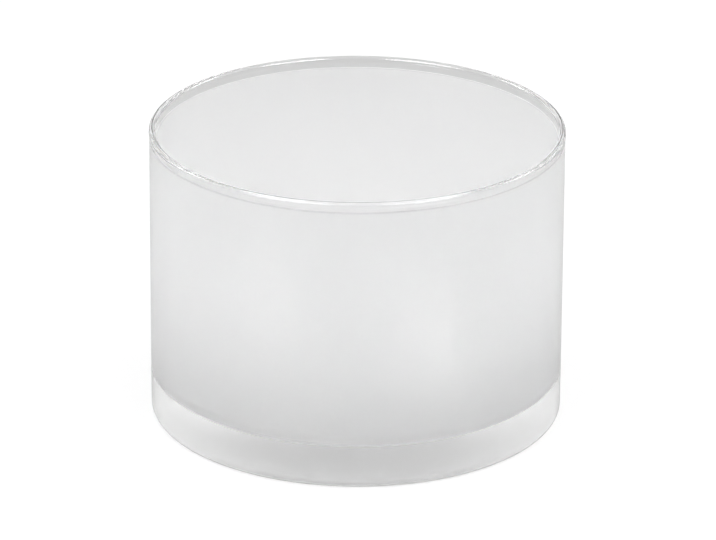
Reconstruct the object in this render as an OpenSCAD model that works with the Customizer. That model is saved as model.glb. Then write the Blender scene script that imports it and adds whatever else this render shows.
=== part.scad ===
// Low, wide tumbler: a clear glass body with a heavy base and a fire-polished
// lip, lined with a thin layer of white opal glass that stops short of the lip.
// Both pieces are outlines turned about the upright axis. The origin is the
// centre of the circle that the tumbler stands on.

/* [Clear body] */
// Outer diameter of the wall at the lip
lip_d = 95; // [60:0.5:130]
// How far the foot stands out past the lip, on each side
foot_flare = 0.25; // [0:0.05:6]
// Height from the standing face to the top of the lip
body_h = 68.6; // [40:0.1:110]
// Thickness of the clear wall at the lip
wall_t = 1.4; // [1:0.1:3]
// Thickness of the base, from the standing face to the inner floor
base_t = 8.8; // [5:0.1:16]
// Radius of the corner between the inner wall and the inner floor
floor_corner_r = 4; // [1:0.1:8]
// Radius of the heel, where the outer wall turns under
heel_r = 1; // [0.3:0.1:3]
// Height of the straight foot, below the wall that draws in
foot_h = 8; // [4:0.5:16]

/* [Fire-polished lip] */
// Height of the straight band of wall under the bead's neck
lip_band_h = 2.5; // [1:0.5:8]
// How much thicker the rounded bead is than the wall below it
bead_swell = 0.2; // [0.1:0.05:0.6]
// Radius of the hollow that blends the bead into the wall
bead_blend_r = 3; // [1:0.5:6]

/* [Underside] */
// Width of the flat ring that the tumbler stands on
ring_w = 5; // [2:0.5:12]
// Rise of the shallow dome pushed up into the underside
dome_h = 0.8; // [0.3:0.1:2.5]

/* [Opal lining] */
// Thickness of the white lining
lining_t = 0.35; // [0.2:0.05:0.8]
// Clear wall left bare between the bead's neck and the edge of the lining
lining_gap = 0.85; // [0.3:0.05:6]

/* [Hidden] */

// Length of a facet on a small curve, and the number along the dome's outline
$fa = 1;
$fs = 0.3;
dome_facets = 16;
// How far a cut runs past the surface that it opens
overrun = 1;
// How deep a blend sinks into the bead, so that the two rounds cross
blend_sink = 0.002;

lip_r = lip_d / 2;
foot_r = lip_r + foot_flare;
mouth_r = lip_r - wall_t;

// The bead is a round on the middle line of the wall, with a neck under it
bead_r = (wall_t + bead_swell) / 2;
bead_centre = [lip_r - wall_t / 2, body_h - bead_r];
hollow_reach = wall_t / 2 + bead_blend_r;
neck_drop = sqrt(pow(bead_r - blend_sink + bead_blend_r, 2) - pow(hollow_reach, 2));
neck_z = bead_centre.y - neck_drop;

// The dome is a shallow cap that ends at the ring
dome_edge_r = foot_r - heel_r - ring_w;
dome_r = (pow(dome_edge_r, 2) + pow(dome_h, 2)) / (2 * dome_h);
dome_fn = ceil(dome_facets * 360 / asin(dome_edge_r / dome_r));

// Centre of the rounded edge of the lining
lining_edge = [mouth_r - lining_t / 2, neck_z - lining_gap - lining_t / 2];

// Solid outline of the outside, from the standing face up to the bead's centre
module outside_outline() {
    polygon([
        [0, 0], [foot_r - heel_r, 0], [foot_r, heel_r], [foot_r, foot_h],
        [lip_r, neck_z - lip_band_h], [lip_r, bead_centre.y], [0, bead_centre.y]
    ]);
    translate([foot_r - heel_r, heel_r]) circle(r = heel_r);
}

// Outline of the hollow, drawn in from the clear glass by inset, up to a height
module hollow_outline(inset, top_z) {
    corner_x = mouth_r - floor_corner_r;
    corner_z = base_t + floor_corner_r;
    polygon([
        [0, base_t + inset], [corner_x, base_t + inset],
        [mouth_r - inset, corner_z], [mouth_r - inset, top_z], [0, top_z]
    ]);
    translate([corner_x, corner_z]) circle(r = floor_corner_r - inset);
}

// Neck between the wall and the bead: a wedge with a hollow cut into each side
module bead_neck() {
    hollows = [for (side = [-1, 1]) bead_centre + [side * hollow_reach, -neck_drop]];
    difference() {
        polygon([hollows[0], hollows[1], bead_centre]);
        for (hollow = hollows) translate(hollow) circle(r = bead_blend_r);
    }
}

// Clear glass, turned in one piece: heavy base, thin wall and beaded lip
module clear_body() {
    color([0.93, 0.95, 0.95, 0.35])
    rotate_extrude() {
        difference() {
            outside_outline();
            hollow_outline(0, body_h + overrun);
            translate([0, dome_h - dome_r]) circle(r = dome_r, $fn = dome_fn);
        }
        translate(bead_centre) circle(r = bead_r);
        bead_neck();
    }
}

// White opal glass on the inner wall and floor, with a rounded edge at the top
module opal_lining() {
    color([0.93, 0.93, 0.92])
    rotate_extrude() {
        difference() {
            hollow_outline(0, lining_edge.y);
            hollow_outline(lining_t, lining_edge.y + overrun);
        }
        translate(lining_edge) circle(d = lining_t);
    }
}

clear_body();
opal_lining();
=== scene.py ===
# %% [markdown]
# A low glass tumbler with a white opal lining.
#
# The real object is one gather of clear glass: a heavy base, a thin wall and a
# lip that was melted round over a flame. Its inner wall and floor carry a thin
# skin of white opal glass, which stops just short of the lip. Both pieces are
# bodies of revolution, so each is drawn here as one outline in the plane of the
# X and Z axes and turned about the upright axis, as on a glassblower's pipe.
# This file only gives the looks. The sizes were settled in the source model,
# and the frame hands over its solids.

# %% Load the frame and keep its box
import math

import bpy
from mathutils import Matrix, Vector


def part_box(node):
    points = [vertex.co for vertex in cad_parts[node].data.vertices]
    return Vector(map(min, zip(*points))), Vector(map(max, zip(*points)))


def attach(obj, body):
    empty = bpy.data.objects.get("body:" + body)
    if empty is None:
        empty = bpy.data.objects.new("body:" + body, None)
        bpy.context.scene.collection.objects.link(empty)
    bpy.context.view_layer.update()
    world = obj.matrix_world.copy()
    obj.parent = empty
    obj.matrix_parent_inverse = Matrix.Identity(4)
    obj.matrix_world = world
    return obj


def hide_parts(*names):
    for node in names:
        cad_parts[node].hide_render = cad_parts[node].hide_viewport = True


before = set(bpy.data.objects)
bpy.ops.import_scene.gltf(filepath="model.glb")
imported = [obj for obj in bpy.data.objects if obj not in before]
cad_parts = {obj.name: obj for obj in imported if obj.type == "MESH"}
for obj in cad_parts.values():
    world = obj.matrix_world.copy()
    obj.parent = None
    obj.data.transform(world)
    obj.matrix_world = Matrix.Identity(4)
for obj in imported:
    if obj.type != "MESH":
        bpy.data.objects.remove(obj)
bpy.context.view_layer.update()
clear_low, clear_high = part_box("clear_body")
lining_low, lining_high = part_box("opal_lining")
for node, low, high in (("clear_body", clear_low, clear_high), ("opal_lining", lining_low, lining_high)):
    print(node, "from", [round(v, 5) for v in low], "to", [round(v, 5) for v in high])

# %% [markdown]
# The camera stands about a metre away and nearly 23 degrees above the table,
# with a long lens that hardly converges the upright lines. It leans clockwise by
# a third of a degree, as the photo does. A long lens far off was chosen over a
# short one close by, because the mouth's ellipse and the foot's are nearly the
# same shape in the photo.

# %% Place the camera
LIP_RADIUS = 0.0475
CAMERA_HEIGHT_ANGLE = math.radians(22.8)
CAMERA_DISTANCE = 21.08 * LIP_RADIUS
CAMERA_LEAN = 0.0057
CAMERA_AIM = Vector((0.00034, 0, 0.03298))
SENSOR_WIDTH = 36
LENS = 217.6

towards_camera = Vector((0, -math.cos(CAMERA_HEIGHT_ANGLE), math.sin(CAMERA_HEIGHT_ANGLE)))
camera = bpy.data.objects.new("camera", bpy.data.cameras.new("camera"))
bpy.context.scene.collection.objects.link(camera)
camera.location = CAMERA_AIM + towards_camera * CAMERA_DISTANCE
camera.rotation_mode = "QUATERNION"
lean = Matrix.Rotation(CAMERA_LEAN, 3, "Z").to_quaternion()
camera.rotation_quaternion = (-towards_camera).to_track_quat("-Z", "Y") @ lean
camera.data.sensor_width = SENSOR_WIDTH
camera.data.lens = LENS
camera.data.clip_end = 10
bpy.context.scene.camera = camera
print("camera is", round(camera.location.length, 3), "m from the origin")

# %% [markdown]
# An outline can be drawn by hand in edit mode: a plane is merged into a single
# vertex, and that vertex is extruded from point to point. A curve object or a
# list of coordinates would do too, but extruding keeps every step visible and
# leaves an ordinary mesh.

# %% Helpers that draw an outline
MM = 0.001


def start_outline(name, radius, height):
    """A new mesh object that is one vertex at a radius and a height, in edit mode."""
    bpy.ops.object.select_all(action="DESELECT")
    bpy.ops.mesh.primitive_plane_add(size=MM, location=(0, 0, 0))
    piece = bpy.context.object
    piece.name = piece.data.name = name
    bpy.ops.object.mode_set(mode="EDIT")
    bpy.ops.mesh.merge(type="CENTER")
    bpy.ops.transform.translate(value=(radius, 0, height))
    return piece


def draw_to(start, points):
    """Extrudes the selected vertex from one point to the next, and gives the last one."""
    here = start
    for radius, height in points:
        step = (radius - here[0], 0, height - here[1])
        bpy.ops.mesh.extrude_vertices_move(TRANSFORM_OT_translate={"value": step})
        here = (radius, height)
    return here


def arc_points(centre, radius, start_angle, end_angle, steps):
    """Points on an arc, without its first one. Angles are in degrees from +X."""
    points = []
    for k in range(1, steps + 1):
        angle = math.radians(start_angle + (end_angle - start_angle) * k / steps)
        points.append((centre[0] + radius * math.cos(angle), centre[1] + radius * math.sin(angle)))
    return points


# %% [markdown]
# Corners are drawn sharp at first and rounded afterwards. A selection in code
# goes by place: the first helper below picks the one vertex at a point of the
# outline, and the second rounds it. In a vertex bevel the absolute offset is
# measured along the edges, and for a square corner it is the radius itself. So
# it puts the ends of the arc exactly where the straight lines stop.

# %% Helpers that round a corner of an outline
def pick_vertex(piece, radius, height):
    """Selects the vertex at a point of the outline, and tells how far off it is."""
    bpy.ops.mesh.select_all(action="DESELECT")
    bpy.ops.object.mode_set(mode="OBJECT")
    place = Vector((radius, 0, height))
    nearest = min(piece.data.vertices, key=lambda vertex: (vertex.co - place).length)
    nearest.select = True
    bpy.ops.object.mode_set(mode="EDIT")
    return (nearest.co - place).length


def round_corner(piece, radius, height, bend, steps):
    """Rounds a square corner of the outline to the radius called bend."""
    miss = pick_vertex(piece, radius, height)
    bpy.ops.mesh.bevel(
        offset_type="ABSOLUTE", offset=bend, segments=steps, profile=0.5, affect="VERTICES")
    corner = [round(v / MM, 2) for v in (radius, height)]
    print(piece.name, "corner at", corner, "rounded to", round(bend / MM, 2), "mm, miss", round(miss, 7))


# %% [markdown]
# Turning the outline makes the solid. Spin copies it round the axis in small
# steps, 256 of them here, so that the glass bends light without facets. The
# last copy falls on the first, and all the copies of the two points on the axis
# fall together, so doubles are merged before the faces are turned outwards.

# %% Helper that turns an outline into a solid
TURN_STEPS = 256
DOUBLES_WITHIN = 0.002 * MM
SHARP_FROM = math.radians(40)


def turn_outline(piece):
    """Spins the outline once round the upright axis and closes the mesh."""
    bpy.ops.mesh.select_all(action="SELECT")
    bpy.ops.mesh.spin(steps=TURN_STEPS, angle=2 * math.pi, center=(0, 0, 0), axis=(0, 0, 1))
    bpy.ops.mesh.select_all(action="SELECT")
    bpy.ops.mesh.remove_doubles(threshold=DOUBLES_WITHIN)
    bpy.ops.mesh.normals_make_consistent(inside=False)
    bpy.ops.object.mode_set(mode="OBJECT")
    bpy.ops.object.shade_smooth_by_angle(angle=SHARP_FROM)
    size = [round(v / MM, 2) for v in piece.dimensions]
    print(piece.name, "is", size, "mm and has", len(piece.data.polygons), "faces")


# %% [markdown]
# The clear body starts under the tumbler. Its underside is pushed up into a
# very shallow dome, so that the glass stands on a flat ring and doesn't rock.
# The dome is part of a ball of more than a metre radius, drawn here as a row of
# short steps from the axis out to the ring. The outer wall follows: a foot that
# flares out a little, a nearly upright wall, and an upright band under the lip.

# %% Draw the underside and the outer wall
FOOT_RADIUS = 0.04775
FOOT_HEIGHT = 8 * MM
HEEL_ROUND = 1 * MM
RING_WIDTH = 5 * MM
DOME_RISE = 0.8 * MM
DOME_STEPS = 16
BAND_HEIGHT = 0.06444
NECK_HEIGHT = 0.066943

dome_edge = FOOT_RADIUS - HEEL_ROUND - RING_WIDTH
dome_ball = (dome_edge ** 2 + DOME_RISE ** 2) / (2 * DOME_RISE)
dome = []
for k in range(1, DOME_STEPS + 1):
    radius = dome_edge * k / DOME_STEPS
    dome.append((radius, DOME_RISE - dome_ball + math.sqrt(dome_ball ** 2 - radius ** 2)))
foot = [(FOOT_RADIUS, 0), (FOOT_RADIUS, FOOT_HEIGHT)]
wall = [(LIP_RADIUS, BAND_HEIGHT), (LIP_RADIUS, NECK_HEIGHT)]
glass = start_outline("clear_glass", 0, DOME_RISE)
here = draw_to((0, DOME_RISE), dome + foot + wall)
print("dome is part of a ball of", round(dome_ball, 3), "m radius")

# %% [markdown]
# The lip was held in a flame until its cut edge drew itself into a bead. The
# bead is a little thicker than the wall, and a soft hollow on each side blends
# it in: one arc up the outer hollow, one long arc over the bead, and one arc
# down the inner hollow. A bevel could round the edge, but not swell it.

# %% Draw the fire-polished lip
WALL = 1.4 * MM
BEAD_ROUND = 0.8 * MM
HOLLOW_ROUND = 3 * MM
BEAD_STEPS = 36
HOLLOW_STEPS = 6

bead_centre = (LIP_RADIUS - WALL / 2, clear_high.z - BEAD_ROUND)
reach = WALL / 2 + HOLLOW_ROUND
lift = math.degrees(math.atan2(bead_centre[1] - NECK_HEIGHT, reach))
outer_hollow = (bead_centre[0] + reach, NECK_HEIGHT)
inner_hollow = (bead_centre[0] - reach, NECK_HEIGHT)
here = draw_to(here, arc_points(outer_hollow, HOLLOW_ROUND, 180, 180 - lift, HOLLOW_STEPS))
here = draw_to(here, arc_points(bead_centre, BEAD_ROUND, -lift, 180 + lift, BEAD_STEPS))
here = draw_to(here, arc_points(inner_hollow, HOLLOW_ROUND, lift, 0, HOLLOW_STEPS))
print("the hollows meet the bead", round(lift, 1), "degrees below its middle")

# %% [markdown]
# Inside, the wall runs straight down to the floor and the floor runs straight
# to the axis, which closes the outline of the clear glass. The corner between
# wall and floor is then rounded, and so is the heel outside.

# %% Draw the inside, round the corners and turn the clear glass
BASE = 8.8 * MM
FLOOR_CORNER = 4 * MM
CORNER_STEPS = 24
HEEL_STEPS = 10

mouth_radius = LIP_RADIUS - WALL
here = draw_to(here, [(mouth_radius, BASE), (mouth_radius / 2, BASE), (0, BASE)])
round_corner(glass, mouth_radius, BASE, FLOOR_CORNER, CORNER_STEPS)
round_corner(glass, FOOT_RADIUS, 0, HEEL_ROUND, HEEL_STEPS)
turn_outline(glass)

# %% [markdown]
# The white lining is a skin of about a third of a millimetre. On the real glass
# it is fused to the clear body, so no air lies between them. Here it is a solid
# of its own whose outer face sinks a hair's breadth, 0.05 mm, into the glass:
# without that, light would cross a gap of air and the white would look as if it
# stood behind a pane. Its upper edge is a half round.

# %% Draw and turn the white lining
SINK = 0.05 * MM
SKIN = 0.35 * MM + SINK
EDGE_STEPS = 12

lining_radius, lining_floor = mouth_radius + SINK, BASE - SINK
inner_radius, inner_floor = lining_radius - SKIN, lining_floor + SKIN
edge_centre = (lining_radius - SKIN / 2, lining_high.z - SKIN / 2)
lining = start_outline("white_lining", 0, lining_floor)
outer_floor = [(lining_radius / 2, lining_floor), (lining_radius, lining_floor)]
here = draw_to((0, lining_floor), outer_floor + [(lining_radius, edge_centre[1])])
here = draw_to(here, arc_points(edge_centre, SKIN / 2, 0, 180, EDGE_STEPS))
here = draw_to(here, [(inner_radius, inner_floor), (inner_radius / 2, inner_floor), (0, inner_floor)])
round_corner(lining, lining_radius, lining_floor, FLOOR_CORNER + SINK, CORNER_STEPS)
round_corner(lining, inner_radius, inner_floor, FLOOR_CORNER + SINK - SKIN, CORNER_STEPS)
turn_outline(lining)

# %% [markdown]
# Each new piece takes the place of a solid of the frame and moves with it. The
# frame's solids stay behind for the motion model, but they are built of loose
# triangles, which would break up the light in the thick base.

# %% Tie the pieces to the frame
for piece, node, slot in ((glass, "clear_body", "clear_glass"), (lining, "opal_lining", "opal_glass")):
    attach(piece, "root")
    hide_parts(node)
    print(piece.name, "replaces", node, "and takes its finish from", slot)

# %% [markdown]
# Glass that was shaped hot is never quite true: its faces wave by a few
# thousandths of a millimetre, and handling leaves faint smears. Both pieces
# share these marks, so they are one node group with two outputs: the height of
# the waves, and a mask for the smears. Each material gives it its own sizes and
# uses what comes out in its own way. The waves are drawn out along the wall, as
# the glass was.

# %% Build the shared group of marks left by hot working
DRAWN_OUT = (1, 1, 0.45)

marks = bpy.data.node_groups.new("hot_worked_marks", "ShaderNodeTree")
for name, in_out, kind in (("Place", "INPUT", "Vector"), ("Wave count", "INPUT", "Float"),
                           ("Smear count", "INPUT", "Float"), ("Wave height", "OUTPUT", "Float"),
                           ("Smear mask", "OUTPUT", "Float")):
    marks.interface.new_socket(name, in_out=in_out, socket_type="NodeSocket" + kind)
marks_in = marks.nodes.new("NodeGroupInput")
marks_out = marks.nodes.new("NodeGroupOutput")

stretch = marks.nodes.new("ShaderNodeVectorMath")
stretch.operation = "MULTIPLY"
stretch.inputs[1].default_value = DRAWN_OUT
waves = marks.nodes.new("ShaderNodeTexNoise")
waves.inputs["Detail"].default_value = 1.5
smears = marks.nodes.new("ShaderNodeTexNoise")
smears.inputs["Detail"].default_value = 4
smears.inputs["Distortion"].default_value = 0.6
marks.links.new(marks_in.outputs["Place"], stretch.inputs[0])
marks.links.new(stretch.outputs[0], waves.inputs["Vector"])
marks.links.new(marks_in.outputs["Place"], smears.inputs["Vector"])
marks.links.new(marks_in.outputs["Wave count"], waves.inputs["Scale"])
marks.links.new(marks_in.outputs["Smear count"], smears.inputs["Scale"])
marks.links.new(waves.outputs["Fac"], marks_out.inputs["Wave height"])
marks.links.new(smears.outputs["Fac"], marks_out.inputs["Smear mask"])
print("group", marks.name, "has", len(marks.nodes), "nodes")


# %% [markdown]
# A few small things turn up in every material below: a grey, a sum or another
# calculation, and a soft change along a height, an angle or a distance. Each is
# one helper.

# %% Helpers for nodes
def grey(value):
    """A grey as a colour."""
    return (value, value, value, 1)


def feed(tree, value, socket):
    """Gives a socket its value, which is another socket or a plain number."""
    if isinstance(value, (int, float)):
        socket.default_value = value
    else:
        tree.links.new(value, socket)


def calculate(tree, operation, first, second):
    """What a Math node makes of two values."""
    node = tree.nodes.new("ShaderNodeMath")
    node.operation = operation
    feed(tree, first, node.inputs[0])
    feed(tree, second, node.inputs[1])
    return node.outputs[0]


def smooth_step(tree, value, edges, strengths):
    """Goes from the first strength to the second while value goes between the edges."""
    step = tree.nodes.new("ShaderNodeMapRange")
    step.interpolation_type = "SMOOTHSTEP"
    step.inputs["From Min"].default_value, step.inputs["From Max"].default_value = edges
    step.inputs["To Min"].default_value, step.inputs["To Max"].default_value = strengths
    tree.links.new(value, step.inputs["Value"])
    return step.outputs["Result"]


# %% [markdown]
# Both materials start alike: a Principled shader, the group of marks read in
# Object coordinates, its wave height turned into a bump, and its smear mask
# turned into a small change of roughness. Noise keeps near its middle value, so
# the mask is stretched before it is used.

# %% Helper that starts a glass material
SMEAR_FROM, SMEAR_TO = 0.35, 0.65


def start_material(name, wave_count, smear_count, wave_depth, smooth, rough):
    """A material whose waves and roughness come from the shared group."""
    material = bpy.data.materials.new(name)
    material.use_nodes = True
    tree = material.node_tree
    surface = tree.nodes["Principled BSDF"]
    place = tree.nodes.new("ShaderNodeTexCoord")
    group = tree.nodes.new("ShaderNodeGroup")
    group.node_tree = marks
    group.inputs["Wave count"].default_value = wave_count
    group.inputs["Smear count"].default_value = smear_count
    bump = tree.nodes.new("ShaderNodeBump")
    bump.inputs["Strength"].default_value = 1
    bump.inputs["Distance"].default_value = wave_depth
    gloss = tree.nodes.new("ShaderNodeMapRange")
    gloss.inputs["From Min"].default_value = SMEAR_FROM
    gloss.inputs["From Max"].default_value = SMEAR_TO
    gloss.inputs["To Min"].default_value = smooth
    gloss.inputs["To Max"].default_value = rough
    tree.links.new(place.outputs["Object"], group.inputs["Place"])
    tree.links.new(group.outputs["Wave height"], bump.inputs["Height"])
    tree.links.new(bump.outputs["Normal"], surface.inputs["Normal"])
    tree.links.new(group.outputs["Smear mask"], gloss.inputs["Value"])
    tree.links.new(gloss.outputs["Result"], surface.inputs["Roughness"])
    return material, tree, surface, group


# %% [markdown]
# Clear glass is almost all in its two plain numbers: full transmission and a
# refractive index of 1.5. Its waves are at most a hundredth of a millimetre
# deep, enough to keep the highlights on the lip from being ruled lines.

# %% Make the clear glass
CLEAR_WAVES = 0.012 * MM
clear, tree, surface, group = start_material(
    "clear_glass", wave_count=60, smear_count=140, wave_depth=CLEAR_WAVES, smooth=0.0, rough=0.012)
surface.inputs["Base Color"].default_value = grey(1)
surface.inputs["Transmission Weight"].default_value = 1
surface.inputs["IOR"].default_value = 1.5
glass.data.materials.clear()
glass.data.materials.append(clear)
print(glass.name, "is finished in", clear.name)

# %% [markdown]
# Opal glass is white because fine crystals in it scatter the light, and a skin
# this thin lets about half of it through. A Principled shader gives the white
# surface and a Translucent shader carries the light to the other side. A faint
# mottle in the white stands for the uneven thickness of the skin. Its upper edge
# is painted a little greyer, as painted shade that dims the bright line lit there.

# %% Make the opal white
LET_THROUGH = 0.47
MOST_WHITE, LEAST_WHITE = 0.995, 0.985
# Painted shade: the grey that darkens the white's upper edge.
EDGE_SHADE_GREY = 0.86
EDGE_DEPTH = 0.5 * MM
OPAL_WAVES = 0.01 * MM

opal, tree, surface, group = start_material(
    "opal_white", wave_count=45, smear_count=260, wave_depth=OPAL_WAVES, smooth=0.42, rough=0.55)
surface.inputs["Specular IOR Level"].default_value = 0.1
mottle = tree.nodes.new("ShaderNodeMix")
painted_edge_shade = tree.nodes.new("ShaderNodeMix")
mottle.data_type = painted_edge_shade.data_type = "RGBA"
mottle.inputs["A"].default_value = grey(MOST_WHITE)
mottle.inputs["B"].default_value = grey(LEAST_WHITE)
painted_edge_shade.inputs["B"].default_value = grey(EDGE_SHADE_GREY)
place = tree.nodes.new("ShaderNodeTexCoord")
along = tree.nodes.new("ShaderNodeSeparateXYZ")
tree.links.new(place.outputs["Object"], along.inputs[0])
# Painted shade: the white turns grey over the last half millimetre below its upper edge.
edge_shade_mask = smooth_step(tree, along.outputs["Z"], (lining_high.z - EDGE_DEPTH, lining_high.z), (0, 1))
tree.links.new(group.outputs["Smear mask"], mottle.inputs["Factor"])
tree.links.new(edge_shade_mask, painted_edge_shade.inputs["Factor"])
tree.links.new(mottle.outputs["Result"], painted_edge_shade.inputs["A"])
print("the white fades to grey over", round(EDGE_DEPTH / MM, 2), "mm at the upper edge")

# %% [markdown]
# The same white colours both shaders, and one Mix Shader shares the light out
# between them.

# %% Let light through the white
through = tree.nodes.new("ShaderNodeBsdfTranslucent")
both = tree.nodes.new("ShaderNodeMixShader")
both.inputs[0].default_value = LET_THROUGH
for colour in (surface.inputs["Base Color"], through.inputs["Color"]):
    tree.links.new(painted_edge_shade.outputs["Result"], colour)
tree.links.new(surface.outputs[0], both.inputs[1])
tree.links.new(through.outputs[0], both.inputs[2])
tree.links.new(both.outputs[0], tree.nodes["Material Output"].inputs["Surface"])
lining.data.materials.clear()
lining.data.materials.append(opal)
print(lining.name, "lets through", LET_THROUGH, "of the light")

# %% [markdown]
# A ray that arrives at the table or at the studio's walls can be told apart. A
# ray from the camera sees them as white. A ray that the camera sees in or
# through the clear glass finds them darker, because the photo's rim is pale grey
# where the background comes through. Such a ray has passed the surface of the
# glass twice at most, and light that has come through the white has passed more
# surfaces than that. All other rays only carry light.

# %% Helpers that tell what kind of ray arrives
MOST_SURFACES_PASSED = 2


def ray_kinds(tree):
    """Two values: 1 for the camera's rays, and 1 for those that it sees in or through the glass."""
    path = tree.nodes.new("ShaderNodeLightPath").outputs
    in_glass = calculate(tree, "MAXIMUM", path["Is Glossy Ray"], path["Is Transmission Ray"])
    for depth, most in (("Diffuse Depth", 0), ("Transmission Depth", MOST_SURFACES_PASSED)):
        few = calculate(tree, "LESS_THAN", path[depth], most + 0.5)
        in_glass = calculate(tree, "MULTIPLY", in_glass, few)
    return path["Is Camera Ray"], in_glass


def strength_by_ray(tree, light, in_glass, for_camera):
    """A strength: light for most rays, in_glass for rays in the glass, for_camera for the camera's."""
    camera_ray, glass_ray = ray_kinds(tree)
    strength = light
    for kind, other in ((glass_ray, in_glass), (camera_ray, for_camera)):
        choice = tree.nodes.new("ShaderNodeMix")
        choice.data_type = "FLOAT"
        feed(tree, kind, choice.inputs["Factor"])
        feed(tree, strength, choice.inputs["A"])
        feed(tree, other, choice.inputs["B"])
        strength = choice.outputs["Result"]
    return strength


# %% [markdown]
# The tumbler stands on a light table: a sheet of white acrylic with lamps under
# it, as is used for glass. The sheet lies a tenth of a millimetre under the
# foot, so that their faces don't fight. It is part of the stage. A shared helper
# measures along it.

# %% Lay the light table's sheet
TABLE_SIZE = 6
TABLE_DROP = 0.1 * MM
TABLE_WHITE = 0.35

bpy.ops.object.select_all(action="DESELECT")
bpy.ops.mesh.primitive_plane_add(size=TABLE_SIZE, location=(0, 0, -TABLE_DROP))
table = bpy.context.object
table.name = "table"
acrylic = bpy.data.materials.new("white_acrylic")
acrylic.use_nodes = True
tree = acrylic.node_tree
surface = tree.nodes["Principled BSDF"]
surface.inputs["Base Color"].default_value = grey(TABLE_WHITE)
surface.inputs["Roughness"].default_value = 0.9
surface.inputs["Specular IOR Level"].default_value = 0
surface.inputs["Emission Color"].default_value = grey(1)
table.data.materials.append(acrylic)


def distance_from(x, y):
    """How far each spot of the table is from (x, y)."""
    place = tree.nodes.new("ShaderNodeTexCoord")
    away = tree.nodes.new("ShaderNodeVectorMath")
    away.operation = "DISTANCE"
    away.inputs[1].default_value = (x, y, 0)
    tree.links.new(place.outputs["Object"], away.inputs[0])
    return away.outputs["Value"]


print("table is", TABLE_SIZE, "m wide, in", acrylic.name)

# %% [markdown]
# The base glows in the photo, more near its edge than in the middle, and the
# wall is palest near the lip. So some light comes up under the base, most of it
# under the outer half, the acrylic is dark just outside the foot, and the lamps
# proper form a ring further out. A colour ramp over the distance from the middle
# holds these strengths. A ramp's colours end at 1, so each is divided by the
# strongest, which is multiplied back afterwards.

# %% Put the lamps under the table
RING_STRENGTH = 13.3
GLOW_REACH = 0.2
glow_steps = (
    (0.0, 0.92), (0.016, 0.92), (0.020, 1.4), (0.026, 1.4), (0.030, 2.55), (0.036, 2.55), (0.042, 1.0),
    (0.076, 0.0), (0.084, 1.8), (0.118, 1.8), (0.126, 13.3), (0.165, 13.3), (0.173, 0.0))

glow = tree.nodes.new("ShaderNodeValToRGB")
steps = glow.color_ramp.elements
while len(steps) > 1:
    steps.remove(steps[0])
for k, (radius, strength) in enumerate(glow_steps):
    step = steps[0] if k == 0 else steps.new(radius / GLOW_REACH)
    step.position = radius / GLOW_REACH
    step.color = grey(strength / RING_STRENGTH)
tree.links.new(calculate(tree, "DIVIDE", distance_from(0, 0), GLOW_REACH), glow.inputs["Fac"])
lamps_below = calculate(tree, "MULTIPLY", glow.outputs["Color"], RING_STRENGTH)
print("the glow changes in", len(steps), "steps out to", glow_steps[-1][0], "m")

# %% [markdown]
# What the clear glass shows of the table is set apart from the light that the
# table gives. It is a dark grey, with two soft pools of light before the foot,
# left and right, because the photo's wall has two faint pale patches there.

# %% Set what the camera and the glass see of the table
SEEN_BELOW = 0.2
TABLE_FOR_CAMERA = 0.62
POOL_REACH = 0.06
pools = ((-0.098, -0.109, 0.9), (0.071, -0.1045, 1.4))

shown = SEEN_BELOW
for x, y, strength in pools:
    pool = smooth_step(tree, distance_from(x, y), (0, POOL_REACH), (strength, 0))
    shown = calculate(tree, "ADD", pool, shown)
table_strength = strength_by_ray(tree, lamps_below, shown, TABLE_FOR_CAMERA)
tree.links.new(table_strength, surface.inputs["Emission Strength"])
print("the glass shows", len(pools), "pools of light on the table")

# %% [markdown]
# Around the table the studio is white for the camera. Its ceiling gives a little
# light of its own: the height of a ray's direction is turned into a strength.
# What the glass shows of the studio is drawn by direction too: pale grey above,
# dark along the horizon, which draws the thin dark lines at the lip and round the
# foot, and two large and two small bright windows, which are the highlights on
# the lip. A window's strength falls off softly with the angle from its middle.

# %% Build the studio's walls and ceiling
CEILING_LIGHT = 1.55
CEILING_EDGE = (0.5, 0.78)
SEEN_ABOVE = 0.75
SEEN_AT_HORIZON = 0.35
HORIZON_TOP = (0.28, 0.42)
STUDIO_FOR_CAMERA = 1.0
WINDOW_STRENGTH = 9.0
WINDOW_EDGE = 4
windows = {"big_left": (-43, 38, 20), "big_right": (42, 38, 18),
           "small_left": (-117, 35, 7), "small_right": (114, 35, 7)}


def toward(azimuth, elevation):
    """The unit vector for a direction. Azimuth 0 is towards the camera, positive to the right."""
    turn, tilt = math.radians(azimuth), math.radians(elevation)
    level = math.cos(tilt)
    return Vector((math.sin(turn) * level, -math.cos(turn) * level, math.sin(tilt)))


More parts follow.
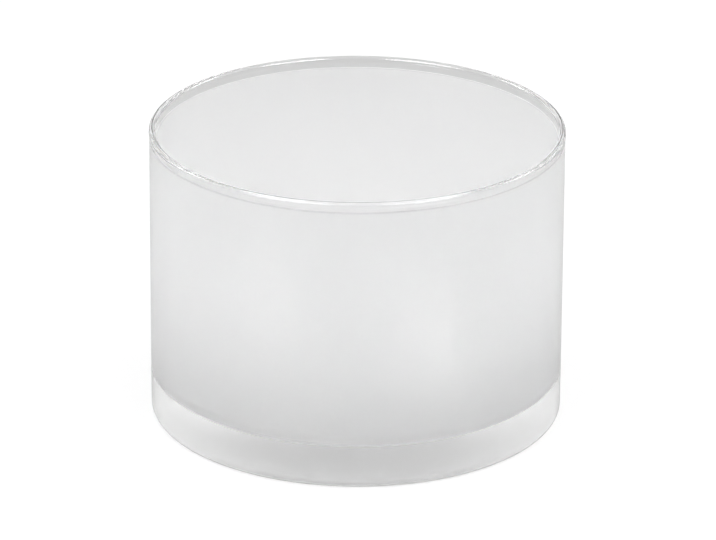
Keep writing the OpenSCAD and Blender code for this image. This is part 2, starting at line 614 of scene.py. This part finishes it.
studio = bpy.data.worlds.new("white_studio")
bpy.context.scene.world = studio
studio.use_nodes = True
tree = studio.node_tree
backdrop = tree.nodes["Background"]
backdrop.inputs["Color"].default_value = grey(1)
direction = tree.nodes.new("ShaderNodeTexCoord").outputs["Generated"]
upward = tree.nodes.new("ShaderNodeSeparateXYZ")
tree.links.new(direction, upward.inputs[0])
ceiling = smooth_step(tree, upward.outputs["Z"], CEILING_EDGE, (0, CEILING_LIGHT))
shown = smooth_step(tree, upward.outputs["Z"], HORIZON_TOP, (SEEN_AT_HORIZON, SEEN_ABOVE))
for azimuth, elevation, radius in windows.values():
    nearness = tree.nodes.new("ShaderNodeVectorMath")
    nearness.operation = "DOT_PRODUCT"
    nearness.inputs[1].default_value = toward(azimuth, elevation)
    tree.links.new(direction, nearness.inputs[0])
    edges = math.cos(math.radians(radius + WINDOW_EDGE)), math.cos(math.radians(radius))
    window = smooth_step(tree, nearness.outputs["Value"], edges, (0, WINDOW_STRENGTH))
    shown = calculate(tree, "ADD", window, shown)
studio_strength = strength_by_ray(tree, ceiling, shown, STUDIO_FOR_CAMERA)
tree.links.new(studio_strength, backdrop.inputs["Strength"])
print("the ceiling gives", CEILING_LIGHT, "and the glass shows", ", ".join(windows))

# %% [markdown]
# Four soft lamps light the wall. Two strips stand in front, one on each side, and
# two square softboxes stand further round and fill the sides. The highlights on
# the lip are the windows above, so none of these needs to be bright.

# %% Set up the lamps
LAMP_DISTANCE = 0.7
LAMP_AIM = Vector((0, 0, 0.035))
STRIP = (0.45, 0.07, 1.05)
SOFTBOX = (0.45, 0.45, 0.8)


def add_lamp(name, azimuth, elevation, width, height, watts):
    """A flat lamp that faces the tumbler."""
    lamp = bpy.data.lights.new(name, "AREA")
    lamp.shape = "RECTANGLE"
    lamp.size, lamp.size_y = width, height
    lamp.energy = watts
    box = bpy.data.objects.new(name, lamp)
    bpy.context.scene.collection.objects.link(box)
    outward = toward(azimuth, elevation)
    box.location = LAMP_AIM + outward * LAMP_DISTANCE
    box.rotation_mode = "QUATERNION"
    box.rotation_quaternion = (-outward).to_track_quat("-Z", "Y")
    box.visible_camera = False
    print(name, "gives", watts, "W from azimuth", azimuth, "and elevation", elevation)


add_lamp("strip_left", -42, 44, *STRIP)
add_lamp("strip_right", 42, 44, *STRIP)
add_lamp("softbox_left", -105, 35, *SOFTBOX)
add_lamp("softbox_right", 105, 35, *SOFTBOX)

# %% [markdown]
# The render's colours are written as they are: the Standard view keeps white
# at white.

# %% Finish
bpy.context.scene.view_settings.view_transform = "Standard"
